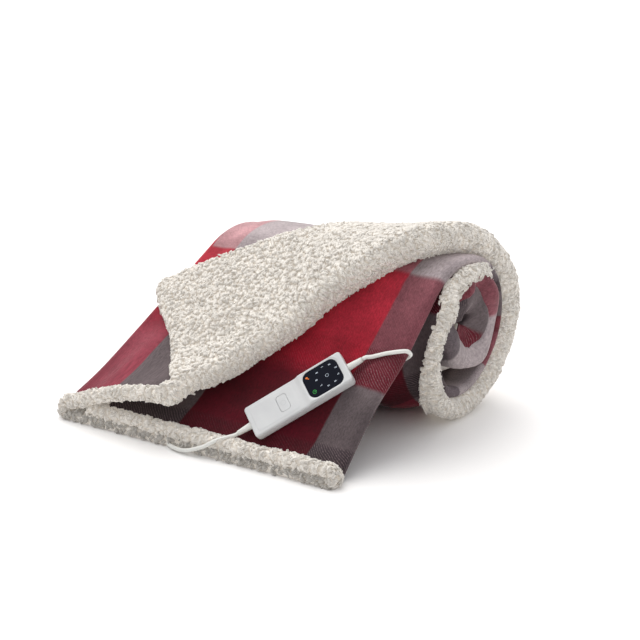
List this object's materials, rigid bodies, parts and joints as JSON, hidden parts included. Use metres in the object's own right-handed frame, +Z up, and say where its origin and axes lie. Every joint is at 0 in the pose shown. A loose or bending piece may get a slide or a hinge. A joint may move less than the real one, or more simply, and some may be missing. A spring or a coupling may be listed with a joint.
{
  "type": "electric heated blanket",
  "caption": "Heated throw of plaid flannel and curly pile, folded, rolled and draped, with a corner turned back, a lit handset, a mains lead and a plug.",
  "frame": {"origin": "Middle of the cloth's outline on the surface that it lies on.", "axes": "+X along the roll towards its end with the turned-back corner, +Y from the front hem back to the roll, +Z up"},
  "size_m": [0.4365, 0.5202, 0.29],
  "materials": {
    "plaid_flannel": "brushed flannel, red and grey plaid",
    "pile_lining": "curly off-white pile",
    "white_abs": "satin",
    "key_abs": "satin",
    "display_acrylic": "gloss",
    "white_pvc": "matt",
    "black_strap": "woven hook-and-loop strap",
    "nickel_pins": "polished nickel"
  },
  "bodies": {
    "blanket": {"flannel_face": "plaid_flannel", "pile_lining": "pile_lining", "handset_base": "white_abs", "handset_cover": "white_abs", "display_window": "display_acrylic", "inner_lead_relief": "white_abs", "mains_lead_relief": "white_abs", "inner_lead": "white_pvc", "mains_lead": "white_pvc", "mains_lead_coil": "white_pvc", "plug_lead": "white_pvc", "coil_tie": "black_strap", "plug_body": "white_abs", "plug_pin_1": "nickel_pins", "plug_pin_2": "nickel_pins"},
    "key": {"power_key": "key_abs"}
  },
  "joints": [
    {"name": "power_key_press", "type": "slide", "parent": "blanket", "child": "key", "axis": [-0.145, 0.6721, -0.7261], "range_m": [0, 0.0008], "stiffness_N_per_m": 600}
  ]
}
